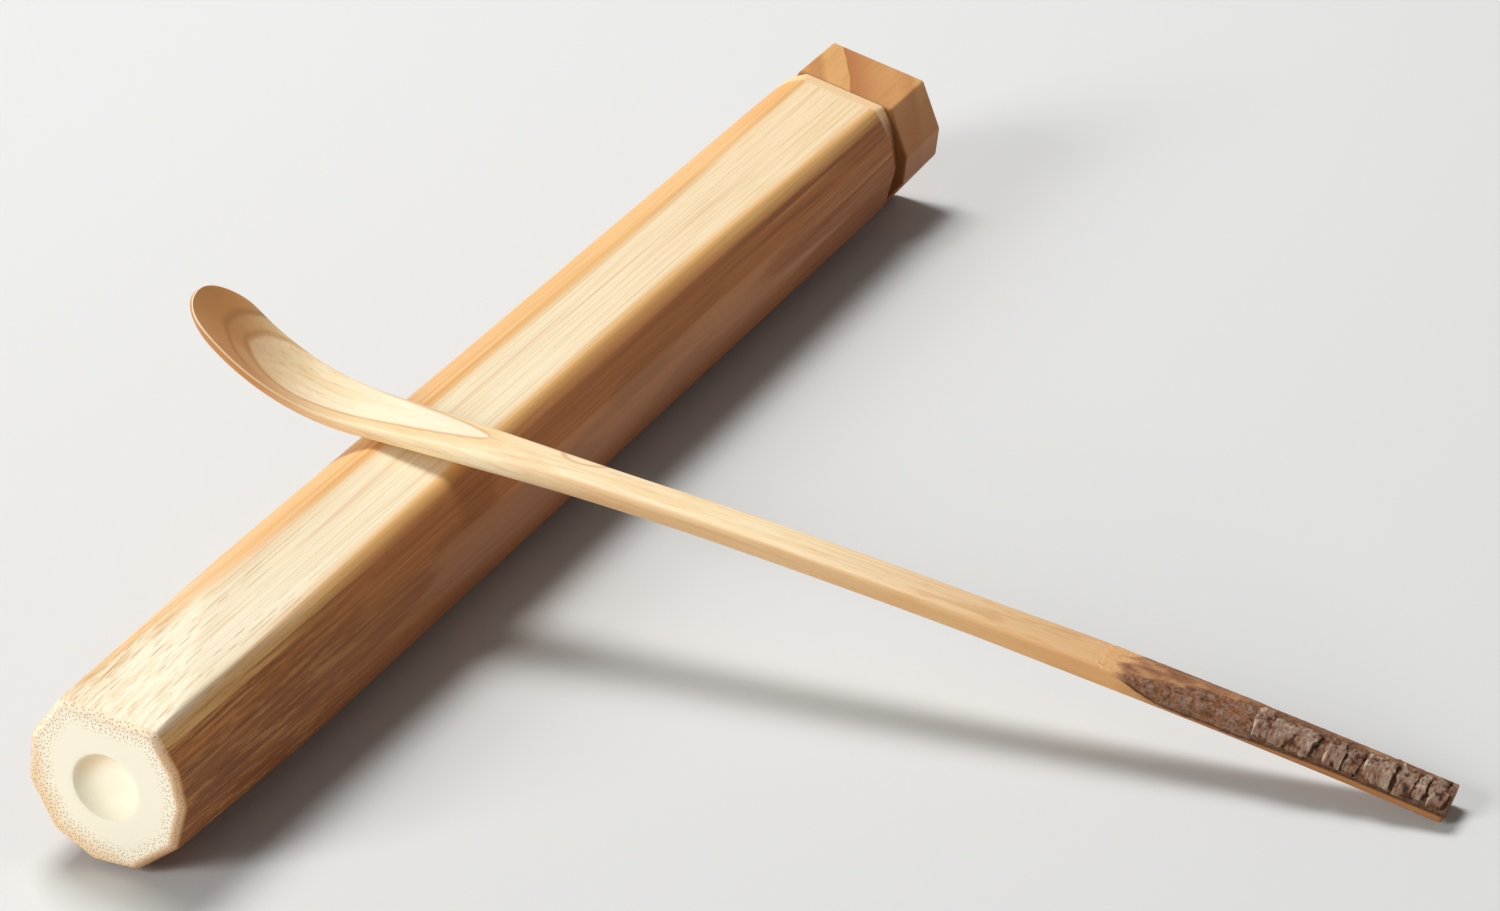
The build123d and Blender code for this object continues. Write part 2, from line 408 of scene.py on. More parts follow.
class Shader:
    """Builds the nodes of one material, or of the world."""

    def __init__(self, name, tree=None):
        if tree is None:
            self.material = bpy.data.materials.new(name)
            self.material.use_nodes = True
            tree = self.material.node_tree
        self.tree = tree
        self.tree.nodes.clear()
        self.places = ()
        self.base = WHITE

    def node(self, kind, settings=None, sockets=None, output=0):
        """Adds a node, sets it up, fills its sockets and gives one of its outputs."""
        node = self.tree.nodes.new(kind)
        for key, setting in (settings or {}).items():
            if key == "stops":
                ramp = node.color_ramp
                while len(ramp.elements) < len(setting):
                    ramp.elements.new(1.0)
                for element, (place, shade) in zip(ramp.elements, setting):
                    element.position = place
                    element.color = (*shade, 1.0)
            else:
                setattr(node, key, setting)
        for key, source in (sockets or {}).items():
            if isinstance(source, Value):
                self.tree.links.new(source.socket, node.inputs[key])
            else:
                node.inputs[key].default_value = source
        return Value(self, node.outputs[output]) if node.outputs else None

    def axes(self, centre, ways):
        """How far the piece's own places lie from a centre in three directions, in millimetres."""
        kind = "ShaderNodeVectorMath"
        place = self.node("ShaderNodeTexCoord", output="Object")
        place = self.node(kind, {"operation": "SUBTRACT"}, {0: place, 1: centre})
        place = self.node(kind, {"operation": "SCALE"}, {0: place, "Scale": 1.0 / MM})
        dot = {"operation": "DOT_PRODUCT"}
        self.places = [self.node(kind, dot, {0: place, 1: tuple(way)}, "Value") for way in ways]
        return self.places

    def vector(self, x, y, z):
        """A vector out of three numbers."""
        return self.node("ShaderNodeCombineXYZ", None, {0: x, 1: y, 2: z})

    def grain(self, scales, detail=2.0, roughness=0.5, shift=None):
        """Soft noise from 0 to 1, with its own scale in each direction."""
        x, y, z = [place * scale for place, scale in zip(self.places, scales)]
        if shift is not None:
            x = x + shift
        sockets = {"Vector": self.vector(x, y, z), "Scale": 1.0, "Detail": detail, "Roughness": roughness}
        return self.node("ShaderNodeTexNoise", None, sockets)

    def cells(self, x, y, jitter):
        """Distance to the nearest of many points scattered over a plane."""
        settings = {"feature": "F1", "voronoi_dimensions": "2D"}
        sockets = {"Vector": self.vector(x, y, 0.0), "Scale": 1.0, "Randomness": jitter}
        return self.node("ShaderNodeTexVoronoi", settings, sockets)

    def rise(self, value, low, high):
        """Goes smoothly from 0 at low to 1 at high."""
        sockets = {"Value": value, "From Min": low, "From Max": high}
        return self.node("ShaderNodeMapRange", {"interpolation_type": "SMOOTHSTEP"}, sockets)

    def above(self, value):
        """The value where it is over 0, and 0 elsewhere."""
        return self.node("ShaderNodeMath", {"operation": "MAXIMUM"}, {0: value, 1: 0.0})

    def size(self, value):
        """The value without its sign."""
        return self.node("ShaderNodeMath", {"operation": "ABSOLUTE"}, {0: value})

    def stored(self, name):
        """A number kept at each point of the piece."""
        return self.node("ShaderNodeAttribute", {"attribute_name": name}, None, "Fac")

    def opaque(self, shade):
        """A colour as a socket takes it."""
        return shade if isinstance(shade, Value) else (*shade, 1.0)

    def ramp(self, value, low, high, stops):
        """Colours set out between two numbers."""
        share = self.node("ShaderNodeMapRange", None, {"Value": value, "From Min": low, "From Max": high})
        scaled = [((place - low) / (high - low), shade) for place, shade in stops]
        return self.node("ShaderNodeValToRGB", {"stops": scaled}, {0: share})

    def mix(self, share, first, second):
        """One colour over another."""
        settings = {"data_type": "RGBA", "blend_type": "MIX"}
        sockets = {0: share, 6: self.opaque(first), 7: self.opaque(second)}
        return self.node("ShaderNodeMix", settings, sockets, 2)

    def paint(self, share, shade):
        """Lays a colour over those that the material has so far."""
        self.base = self.mix(share, self.base, shade)

    def finish(self, roughness, specular, height=None, depth=0.0):
        """Ends the material with its colours, roughness and a bump of some depth in millimetres."""
        sockets = {"Base Color": self.opaque(self.base), "Roughness": roughness}
        sockets["Specular IOR Level"] = specular
        if height is not None:
            bump = {"Height": height, "Strength": 1.0, "Distance": depth * MM}
            sockets["Normal"] = self.node("ShaderNodeBump", None, bump)
        surface = self.node("ShaderNodeBsdfPrincipled", None, sockets)
        self.node("ShaderNodeOutputMaterial", None, {"Surface": surface})
        return self.material


def ease(value, low, high):
    """Goes smoothly from 0 at low to 1 at high."""
    share = min(max((value - low) / (high - low), 0.0), 1.0)
    return share * share * (3.0 - 2.0 * share)


def ripple(x, y, seed, octaves=2):
    """Even noise about zero at a place, the same on every run."""
    return noise.fractal(Vector((x, y, seed)), 1.0, 2.0, octaves)


def splits(x, y, seed):
    """How far a place is from the cracks between scattered cells."""
    gaps = noise.voronoi(Vector((x, y, seed)))[0]
    return gaps[1] - gaps[0]


def blended(first, second, share):
    """A colour between two."""
    return tuple(a + (b - a) * share for a, b in zip(first, second))


def ring_edges(bm, ring):
    """The edges of a closed ring of vertices."""
    return [bm.edges.get((ring[index - 1], ring[index])) for index in range(len(ring))]


def add_ring(bm, points, layers, tones):
    """A closed ring of edges through points, with the numbers kept at each one held between 0 and 1."""
    ring = bmesh.ops.create_circle(bm, segments=len(points), radius=1.0)["verts"]
    for vert, point, tone in zip(ring, points, tones):
        vert.co = point
        for layer, share in zip(layers, tone):
            vert[layer] = min(max(share, 0.0), 1.0)
    return ring


def skin_rings(bm, rings):
    """Bridges each ring to the next and closes both ends."""
    for ring, following in zip(rings, rings[1:]):
        bmesh.ops.bridge_loops(bm, edges=ring_edges(bm, ring) + ring_edges(bm, following))
    for ring in (rings[0], rings[-1]):
        bmesh.ops.edgeloop_fill(bm, edges=ring_edges(bm, ring))


def drawn_out(bm, face, distance):
    """Extrudes a face along Y and gives the face at the new end."""
    grown = bmesh.ops.extrude_face_region(bm, geom=[face])["geom"]
    end = next(item for item in grown if isinstance(item, bmesh.types.BMFace))
    bmesh.ops.translate(bm, verts=end.verts[:], vec=(0.0, distance, 0.0))
    bmesh.ops.recalc_face_normals(bm, faces=bm.faces)
    return end


def break_edges(bm, edges, width, segments):
    """Bevels edges to a small round."""
    bmesh.ops.bevel(
        bm, geom=edges, offset=width, offset_type="OFFSET", affect="EDGES",
        segments=segments, profile=0.5, material=-1, clamp_overlap=True,
    )


def finish_piece(bm, name, body, node, material, crease):
    """Makes a bmesh a shaded piece that rides on a body and stands for a part of the frame."""
    bmesh.ops.recalc_face_normals(bm, faces=bm.faces)
    mesh = bpy.data.meshes.new(name)
    bm.to_mesh(mesh)
    bm.free()
    if not mesh.polygons:
        raise RuntimeError(f"{name} has no faces")
    mesh.shade_smooth()
    mesh.set_sharp_from_angle(angle=math.radians(crease))
    mesh.materials.append(material)
    piece = bpy.data.objects.new(name, mesh)
    bpy.context.scene.collection.objects.link(piece)
    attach(piece, body)
    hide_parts(node)
    return piece


class ScoopLie:
    """Where the scoop lies, and the directions along, over and across it."""

    def __init__(self, settings):
        case = settings.case
        self.scoop = scoop = settings.scoop
        self.bark = settings.bark
        crest_turn = case.face_turn - math.acos((case.culm_radius - case.face_depth) / case.culm_radius)
        crest_x = case.culm_radius * math.sin(crest_turn)
        crest_z = case.axis_height + case.culm_radius * math.cos(crest_turn) + scoop.clearance
        lean = math.asin(crest_z / scoop.handle_span)
        heading = Vector((-math.cos(scoop.turn), -math.sin(scoop.turn), 0.0))
        self.across = UP.cross(heading)
        self.chord = heading * math.cos(lean) + UP * math.sin(lean)
        self.above = UP * math.cos(lean) - heading * math.sin(lean)
        self.ways = (self.chord, self.above, self.across)
        crossing = Vector((crest_x, BASE_Y + scoop.crossing, crest_z))
        self.end = crossing - self.chord * scoop.handle_span
        self.arch_radius = (scoop.handle_span ** 2 / 4.0 + scoop.handle_rise ** 2) / (2.0 * scoop.handle_rise)
        self.arch_angle = math.asin(scoop.handle_span / 2.0 / self.arch_radius)
        self.arch_length = 2.0 * self.arch_angle * self.arch_radius
        self.bend_start = self.arch_length + scoop.neck_length
        self.run = self.bend_start + scoop.bend_radius * scoop.bend_angle

    def at(self, run):
        """The keel's point at a distance from the handle's end, and the direction out of the top there."""
        scoop = self.scoop
        slope = self.arch_angle - min(max(run, 0.0), self.arch_length) / self.arch_radius
        along = scoop.handle_span / 2.0 - self.arch_radius * math.sin(slope)
        over = self.arch_radius * math.cos(slope) - self.arch_radius + scoop.handle_rise
        straight = min(max(run - self.arch_length, 0.0), scoop.neck_length)
        along += straight * math.cos(slope)
        over += straight * math.sin(slope)
        if run > self.bend_start:
            bent = slope + (run - self.bend_start) / scoop.bend_radius
            along += scoop.bend_radius * (math.sin(bent) - math.sin(slope))
            over += scoop.bend_radius * (math.cos(slope) - math.cos(bent))
            slope = bent
        point = self.end + self.chord * along + self.above * over
        return point, self.above * math.cos(slope) - self.chord * math.sin(slope)

    def spot(self, run, side, height):
        """A point beside and over the keel."""
        point, lift = self.at(run)
        return point + self.across * side + lift * height

    def widths(self, run):
        """Half width, rim height, keel and hollow of the blade at a distance from the handle's end."""
        scoop = self.scoop
        flare = ease(run, scoop.flare_start, scoop.flare_end)
        hollowing = ease(run, scoop.hollow_start, scoop.flare_end)
        half = (scoop.handle_width + (scoop.bowl_width - scoop.handle_width) * flare) / 2.0
        rim = scoop.handle_thickness + (scoop.bowl_thickness - scoop.handle_thickness) * flare
        keel = scoop.handle_keel + (scoop.bowl_keel - scoop.handle_keel) * flare
        hollow = -scoop.handle_crown + (scoop.bowl_hollow + scoop.handle_crown) * hollowing
        return half, rim, keel, hollow

    def tip(self, run):
        """How far along the rounded tip a place is, from 0 to 1."""
        return max(run - self.run + self.scoop.tip_length, 0.0) / self.scoop.tip_length

    def top(self, run, side):
        """Height of the blade's top over the keel."""
        half, rim, _, hollow = self.widths(run)
        tip = self.tip(run) ** 2
        hollow *= 1.0 - TIP_FILL * tip
        return rim - hollow * (1.0 - (side / half) ** 2) - TIP_FALL * tip

    def bark_edge(self, run, side):
        """How far a place lies inside the start of the bark, which slants a little."""
        return self.bark.reach - BARK_SLANT * side - run

    def bark_bed(self, run, side):
        """Height of the wood under the bark, which goes deeper along the near side."""
        deeper = BED_DEEPER * ease(side / MM, *DEEPER_ACROSS) * ease(run / MM, *DEEPER_ALONG)
        covered = ease(self.bark_edge(run, side) / MM, *BED_SLOPE)
        return self.top(run, side) - self.bark.depth * (1.0 + deeper) * covered

    def over_bark(self, run, reach, rise):
        """A point over the bark's top, or further out round its near corner and down its side."""
        corner = NEAR_CORNER * MM
        flat = self.widths(run)[0] - corner
        if reach <= flat:
            return self.spot(run, reach, self.top(run, reach) + rise)
        bend = min((reach - flat) / corner, QUARTER)
        down = max(reach - flat - corner * QUARTER, 0.0)
        side = flat + (corner + rise) * math.sin(bend)
        return self.spot(run, side, self.top(run, flat) - corner + (corner + rise) * math.cos(bend) - down)

    def rounding(self, sizes, shares, reach):
        """Radius of an edge, which stays well inside the blade."""
        return min(sum(size * share for size, share in zip(sizes, shares)) * MM, reach * EDGE_LIMIT)

    def outline(self, run):
        """Side, height and rim of the points round the blade, from the middle of its underside."""
        near = self.half_outline(run, 1.0)
        far = self.half_outline(run, -1.0)
        return near + far[-2:0:-1]

    def half_outline(self, run, hand):
        """The points from the middle of the underside round one side to the middle of the top."""
        half, _, keel, _ = self.widths(run)
        tip = min(self.tip(run), TIP_LAST)
        fullness = NEAR_FULLNESS if hand > 0.0 else FAR_FULLNESS
        reach = half * (1.0 - tip ** fullness) ** (1.0 / fullness)
        place = run / MM
        handle = ease(place, *ROUND_HANDLE[:2]) - ease(place, *ROUND_HANDLE[2:])
        neck = ease(place, *ROUND_NECK[:2]) - ease(place, *ROUND_NECK[2:])
        bowl = ease(place, *ROUND_BOWL)
        upper = self.rounding(UPPER_EDGE, (1.0, handle, neck), reach)
        lower = self.rounding(LOWER_EDGE, (1.0, handle, bowl), reach)
        thin = (THIN_BOWL * bowl + THIN_TIP * tip * tip) * MM
        brow = self.bark_bed(run, hand * (reach - upper)) - upper
        points = []
        for index in range(UNDER_POINTS + 1):
            side = (reach - lower) * index / UNDER_POINTS
            points.append((side, (keel + thin) * (side / half) ** 2, 0.0))
        foot = points[-1][1] + lower
        bends = [QUARTER * index / EDGE_POINTS for index in range(EDGE_POINTS + 1)]
        for bend in bends[1:]:
            points.append((reach - lower + lower * math.sin(bend), foot - lower * math.cos(bend), 0.0))
        for bend in bends:
            rim = 1.0 if bend in bends[1:-1] else 0.0
            points.append((reach - upper + upper * math.cos(bend), brow + upper * math.sin(bend), rim))
        for index in range(TOP_POINTS - 1, -1, -1):
            side = (reach - upper) * index / TOP_POINTS
            points.append((side, self.bark_bed(run, hand * side), 0.0))
        return [(hand * side, height, rim) for side, height, rim in points]


def scoop_wood(settings, lie):
    """Pale satin wood, with growth lines that come out as long leaf shapes in the bowl."""
    finish = settings.finish
    pale, tan, ring, red = finish.scoop_pale, finish.scoop_tan, finish.scoop_ring, finish.bark_red
    shader = Shader("scoop_wood")
    rise, paint, grain, above, size = shader.rise, shader.paint, shader.grain, shader.above, shader.size
    run, over, side = shader.axes(lie.end, lie.ways)
    drift = grain((0.03, 0.12, 0.16))
    tremble = grain((0.12, 0.3, 0.3)) - 0.5
    mottle = grain((0.09, 0.35, 0.5), 3.0, 0.6)
    streaks = grain((0.05, 2.2, 2.2), 4.0, 0.6)
    pores = grain((0.35, 7.0, 7.0), 1.0)
    blunt = above(run - LEAF_PLACE) * 0.51
    leaf = 0.94 * above(LEAF_REACH - above(LEAF_PLACE - run)) ** 0.5
    off = side + 1.4 - rise(run, LEAF_PLACE, 148.0) * 0.5
    behind = above(LEAF_PLACE - LEAF_REACH - run) * 0.12
    layer = (off * off + blunt * blunt) ** 0.5 - leaf + behind + tremble * 0.7
    bowl = rise(run, 118.0, 142.0)
    middle = rise(layer, 0.1, -0.5)
    inside = middle * bowl * rise(run, 167.0, 148.0)
    warm = rise(run + side * 1.2 + (drift - 0.5) * 16.0, 159.0, 181.0) * (1.0 - middle * 0.35)
    shader.base = shader.mix(rise(drift, 0.35, 0.7) * 0.45 * (1.0 - bowl * 0.6), pale, tan)
    paint(rise(mottle, 0.45, 0.66) * 0.55, tan)
    paint(rise(layer, -0.15, 0.25) * rise(layer, 6.0, 0.6) * bowl * 0.55, tan)
    paint(warm * 0.9, WARM_TIP)
    paint(rise(layer, 1.6, 2.1) * rise(run, 168.0, 176.0) * 0.6, ring)
    paint(inside * 0.7, blended(pale, WHITE, 0.25))
    late = shader.mix(warm, blended(ring, tan, 0.2), blended(ring, red, 0.6))
    paint(rise(size(layer), 0.55, 0.05) * bowl * 0.6, late)
    outer = rise(size(layer - 1.75), 0.45, 0.02) * rise(run + over * 0.3, 169.0, 175.0)
    paint(outer * 0.6, blended(ring, red, 0.65))
    eye = (((run - 124.0) / 3.2) ** 2.0 + ((side + 3.2) / 2.0) ** 2.0) ** 0.5 + tremble * 0.5
    paint(rise(size(eye - 1.0), 0.22, 0.02) * 0.5, ring)
    towards_bark = rise(run + (drift - 0.5) * 40.0 + (mottle - 0.5) * 30.0, 104.0, 44.0)
    paint(towards_bark * 0.8, blended(ring, tan, 0.25))
    paint(towards_bark * rise(mottle, 0.5, 0.64) * 0.45, blended(ring, red, 0.3))
    paint(rise(size(side), 2.3, 3.2) * rise(run, 140.0, 118.0) * 0.6, blended(ring, tan, 0.15))
    paint(rise(run, 47.0, 36.0) * 0.92, blended(ring, red, 0.75))
    paint(rise(streaks, 0.46, 0.78) * (0.36 - inside * 0.24), blended(ring, red, 0.2))
    paint(rise(pores, 0.64, 0.78) * 0.28, ring)
    # Painted highlight: the upper rim paler along the neck, more so towards the tip.
    painted_rim_highlight = rise(run, 136.0, 156.0) * 0.35 + rise(run, 164.0, 178.0) * 0.5
    paint(rise(shader.stored("rim"), 0.3, 0.9) * painted_rim_highlight, pale)
    height = streaks * 0.7 + pores * 0.3
    return shader.finish(roughness=0.4 + streaks * 0.16, specular=0.35, height=height, depth=0.04)


def bamboo(settings):
    """Planed bamboo: fibres along the culm, pale inside and orange to brown towards its skin."""
    finish, case = settings.finish, settings.case
    pale, tan, skin, fibre = finish.bamboo_pale, finish.bamboo_tan, finish.bamboo_skin, finish.bamboo_fibre
    brown, dark_brown = blended(tan, fibre, 0.3), blended(tan, fibre, 0.5)
    shader = Shader("bamboo")
    rise, paint, grain = shader.rise, shader.paint, shader.grain
    x, y, z = shader.axes((0.0, 0.0, case.axis_height), XYZ)
    from_base, to_mouth = y - BASE_Y / MM, MOUTH_Y / MM - y
    lean_sin, lean_cos = math.sin(case.face_turn), math.cos(case.face_turn)
    radius = (x * x + z * z) ** 0.5
    facing = (x * lean_sin + z * lean_cos) / radius
    right = (x * lean_cos - z * lean_sin) / radius
    wander = grain((0.3, 0.02, 0.3))
    drift = grain((0.6, 0.012, 0.6), 3.0) - 0.5
    streaks = grain((1.6, 0.018, 1.6), 4.0, 0.6, wander * 0.6)
    fine = grain((5.5, 0.025, 5.5), 3.0, 0.6, wander)
    patches = grain((0.2, 0.022, 0.2), 1.0, 0.5, wander * 0.5)
    flecks = grain((1.1, 0.11, 1.1), 3.0, 0.65, wander)
    breaks = grain((1.7, 0.2, 1.7))

    # The closed end with its hollow, and the outside.
    cup = rise(radius, 5.4, 5.0) * rise(from_base, 4.0, 3.0)
    flush = rise(from_base, 1.0, 0.35)
    end_grain = flush + cup * (1.0 - flush)
    outside = rise(radius, 9.0, 9.8) * (1.0 - end_grain)
    near_base = rise(from_base, 64.0, 16.0)
    near_mouth = rise(to_mouth, 75.0, 25.0)
    ends = near_base + near_mouth
    shader.base = shader.ramp(radius + drift * 0.3, 8.0, 13.0, (
        (8.0, pale), (12.1, pale), (12.4, blended(pale, tan, 0.4)), (12.6, blended(pale, tan, 0.9)),
        (12.78, blended(tan, skin, 0.6)), (13.0, skin),
    ))
    paint(near_base * outside * 0.7, CREAM)
    paint(rise(to_mouth, 150.0, 0.0) * outside * 0.3, tan)
    paint(end_grain * 0.9, END_GRAIN)
    # Painted shade: the upper left of the hollow's wall is tinted tan, as the shadow that falls there.
    paint(rise(radius, 4.8, 4.2) * cup * rise(z * 0.8 - x * 0.6, 0.8, 4.2) * 0.4, tan)

    # The left side, the ragged edge of the planed face and the browner right side with what the knife left.
    left_side = rise(right + drift * 0.06, -0.42, -0.47) * rise(facing, 0.0, 0.4) * outside
    ragged = 0.06 + near_base * 0.42 + near_mouth * 0.15
    torn = right + drift * 0.08 + (streaks - 0.5) * ragged - near_base * 0.1 - near_mouth * 0.07
    right_side = rise(torn, 0.48, 0.59) * outside
    kept = rise(case.culm_radius / MM - radius + (streaks - 0.5) * 0.06, 0.14, 0.05) * outside
    cream = rise(from_base, 45.0, 12.0) + rise(to_mouth, 34.0, 6.0)
    paint(left_side * (0.8 - cream * 0.6), blended(blended(pale, tan, 0.75), fibre, 0.1))
    paint(rise(streaks, 0.46, 0.62) * left_side * 0.55, brown)
    paint(rise(fine, 0.48, 0.66) * left_side * 0.45, brown)
    paint(rise(right, 0.4, 0.5) * near_base * outside * 0.8, blended(tan, skin, 0.35))
    # Pale to brown bands past the face's right edge: wood under the skin, partly painted light.
    paint(rise(torn, 0.36, 0.44) * outside * 0.8, blended(pale, tan, 0.9))
    paint(rise(torn, 0.42, 0.52) * outside * 0.9, blended(tan, skin, 0.45))
    # Painted shade: the right side browner than the left, over the skin's own brown.
    paint(right_side * 0.92, shader.mix(kept, blended(skin, fibre, 0.3), blended(skin, tan, 0.12)))
    paint(rise(patches, 0.5, 0.54) * right_side * 0.3, fibre)
    # Painted shade: the case darker towards its underside.
    paint(rise(facing, 0.62, -0.2) * outside * 0.85, blended(skin, fibre, 0.8))

    # Fibres: fine on the planed side, and streaks and flecks where the knife went into the right side.
    planed = (1.0 - right_side) * outside
    paint(rise(streaks, 0.44, 0.72) * (0.3 - left_side * 0.15) * planed, brown)
    paint(rise(fine, 0.5, 0.66) * 0.36 * planed, brown)
    worked = right_side * (1.0 - kept * 0.7)
    paint(rise(streaks, 0.48, 0.66) * worked * (0.3 + ends * 0.3), fibre)
    paint(rise(streaks, 0.46, 0.32) * worked * (0.2 + ends * 0.25), blended(skin, tan, 0.6))
    paint(rise(flecks, 0.52, 0.62) * worked * near_base * 0.5, fibre)
    paint(rise(flecks, 0.46, 0.36) * worked * near_base * 0.5, blended(skin, tan, 0.45))
    bundles = shader.cells(x * 2.1 + (wander - 0.5) * 1.2, z * 2.1 + wander, 1.0)
    dashes = rise(bundles, 0.3, 0.15) * rise(breaks, 0.48, 0.58) * outside * near_base
    paint(dashes * (0.5 + right_side * 0.2), dark_brown)

    # The rind and the dots of cut fibres round the closed end.
    low_left = rise((x * -0.75 - z * 0.66) / radius, 0.2, 0.9)
    inset = shader.stored("inset")
    paint(rise(inset, 1.2 + low_left * 2.2, 0.0) * flush * (0.2 + low_left * 0.35), tan)
    dots = shader.cells(x * 1.95, z * 1.95, 0.75)
    dotted = rise(dots, 0.27, 0.12) * rise(inset, 2.7 + low_left * 1.2, 1.4 + low_left * 1.2) * flush
    paint(dotted * 0.8, dark_brown)
    # Painted shade: the closed end's outer rim browner on its right side.
    paint(rise(inset, 0.7, 0.15) * flush * rise(right, 0.2, 0.7) * 0.6, blended(tan, skin, 0.6))

    # The bevel round the mouth, pale above, and dark on the right with painted shade.
    paint(rise(to_mouth, 3.1, 2.6) * outside * rise(right, 0.85, 0.55) * 0.85, blended(pale, tan, 0.6))
    shaded = rise(to_mouth, 2.9, 1.0) * outside * rise(right, 0.62, 0.8)
    paint(shaded * 0.75, blended(fibre, finish.bark_crack, 0.6))
    roughness = 0.52 + streaks * 0.15 - right_side * kept * 0.16
    height = streaks * 0.5 + fine * 0.3 - (dashes + dotted) * 0.25
    return shader.finish(roughness, specular=0.25, height=height, depth=0.06)


def stopper_wood(settings):
    """Warm knife-cut wood with broad growth bands that start at a sharp line and fade out."""
    finish, case = settings.finish, settings.case
    light, dark = finish.stopper_light, finish.stopper_dark
    shadow = blended(dark, finish.bark_crack, 0.5)
    shader = Shader("stopper_wood")
    rise, paint, grain = shader.rise, shader.paint, shader.grain
    x, y, z = shader.axes((0.0, MOUTH_Y, case.axis_height), XYZ)
    beside = x * math.cos(case.face_turn) - z * math.sin(case.face_turn)
    over = x * math.sin(case.face_turn) + z * math.cos(case.face_turn)
    drift = grain((0.12, 0.12, 0.12))
    streaks = grain((1.4, 0.12, 1.4), 4.0, 0.6)
    pores = grain((5.0, 0.4, 5.0), 1.0)
    layer = beside * 0.87 + y * 0.487 + (over - 10.5) * 0.3 + (drift - 0.5) * 1.2
    bands = [(place, blended(light, dark, share)) for place, share in GROWTH_BAND]
    shader.base = shader.ramp(((layer - 1.0) / BAND_WIDTH) % 1.0, 0.0, 1.0, bands)
    # Painted shade: the right side darker, the lower side and the face inside the mouth darker still.
    paint(rise(beside, 6.5, 11.0) * 0.7, dark)
    paint(rise(over, 7.0, -2.0) * 0.6, shadow)
    paint(rise(y, 0.7, 0.2) * 0.6, shadow)
    paint(rise(streaks, 0.45, 0.75) * 0.35, blended(light, dark, 0.9))
    paint(rise(pores, 0.62, 0.76) * 0.35, dark)
    height = streaks * 0.7 - pores * 0.4
    return shader.finish(roughness=0.46 + streaks * 0.16, specular=0.3, height=height, depth=0.06)


def inner_bark(settings, lie):
    """Smooth red-brown inner bark, golden where it thins out, with grey flakes of outer bark on it."""
    finish = settings.finish
    red, gold, grey, crack = finish.bark_red, finish.bark_gold, finish.bark_grey, finish.bark_crack
    shader = Shader("inner_bark")
    rise, paint, grain = shader.rise, shader.paint, shader.grain
    _, _, side = shader.axes(lie.end, lie.ways)
    flakes, thin, pits = shader.stored("flakes"), shader.stored("thin"), shader.stored("pits")
    clouds = grain((0.22, 0.8, 0.8), 4.0, 0.62)
    specks = grain((1.5, 1.7, 1.7), 5.0, 0.62)
    broad = grain((0.5, 0.7, 0.7), 3.0, 0.6)
    shader.base = shader.mix(rise(clouds, 0.4, 0.64), red, blended(red, gold, 0.5))
    paint(rise(clouds, 0.44, 0.3) * 0.6, blended(red, crack, 0.5))
    paint(rise(side, -1.9, -3.0) * 0.6, blended(red, crack, 0.6))
    paint(thin, gold)
    crust = shader.mix(rise(specks, 0.36, 0.62), blended(red, crack, 0.3), blended(grey, red, 0.12))
    crust = shader.mix(rise(broad, 0.47, 0.62) * 0.7, crust, blended(red, crack, 0.12))
    paint(rise(flakes, 0.1, 0.7), crust)
    paint(rise(specks, 0.42, 0.3) * rise(thin, 0.8, 0.2) * 0.5, blended(red, crack, 0.7))
    # Dark pits and cracks, with painted shade in the foot's groove and under the plates.
    paint(pits * 0.65, crack)
    roughness = 0.5 + rise(flakes, 0.0, 0.5) * 0.3
    return shader.finish(roughness, specular=0.3, height=specks, depth=0.12)


def outer_bark(settings, lie):
    """Rough grey-brown plates: pale crests and dark cracks, partly painted highlight and shade."""
    finish = settings.finish
    red, grey, crest, crack = finish.bark_red, finish.bark_grey, finish.bark_crest, finish.bark_crack
    shader = Shader("outer_bark")
    shader.axes(lie.end, lie.ways)
    specks = shader.grain((1.8, 1.8, 1.8), 5.0, 0.65)
    shader.base = shader.ramp(shader.stored("crest") + (specks - 0.5) * 0.5, 0.0, 1.0, (
        (0.0, crack), (0.18, blended(crack, red, 0.55)), (0.36, blended(red, grey, 0.7)), (0.5, grey),
        (0.75, blended(grey, crest, 0.45)), (1.0, crest),
    ))
    return shader.finish(roughness=0.82, specular=0.3, height=specks, depth=0.18)


def floor_paint(settings):
    """Plain pale matt floor."""
    shader = Shader("floor_paint")
    shader.axes((0.0, 0.0, 0.0), XYZ)
    shader.base = settings.stage.floor
    return shader.finish(roughness=0.85 + shader.grain((1.0, 1.0, 1.0)) * 0.08, specular=0.2)


class TEASCOOP_OT_blade(Operator):
    """Carve the scoop's handle, neck and bowl out of one stick"""

    bl_idname = "tea_scoop.blade"
    bl_label = "Scoop blade"

    def execute(self, context):
        """Makes rings along the keel, closes them in and rounds them off."""
        settings = context.scene.tea_scoop
        lie = ScoopLie(settings)
        tip = lie.scoop.tip_length
        tip_start = lie.run - tip
        stations = [0.0, END_GAP]
        stations += [tip_start * index / BLADE_RINGS for index in range(1, BLADE_RINGS + 1)]
        stations += [tip_start + tip * math.sin(QUARTER * index / TIP_RINGS) for index in range(1, TIP_RINGS)]
        stations.append(lie.run - TIP_GAP)
        bm = bmesh.new()
        rims = bm.verts.layers.float.new("rim")
        rings = []
        for run in stations:
            outline = lie.outline(run)
            points = [lie.spot(run, side, height) for side, height, _ in outline]
            rings.append(add_ring(bm, points, [rims], [[rim] for _, _, rim in outline]))
        skin_rings(bm, rings)
        material = scoop_wood(settings, lie)
        piece = finish_piece(bm, "scoop_blade", "scoop", "scoop", material, crease=60.0)
        rounding = piece.modifiers.new("rounding", "SUBSURF")
        rounding.levels = 1
        rounding.render_levels = 1
        return {"FINISHED"}


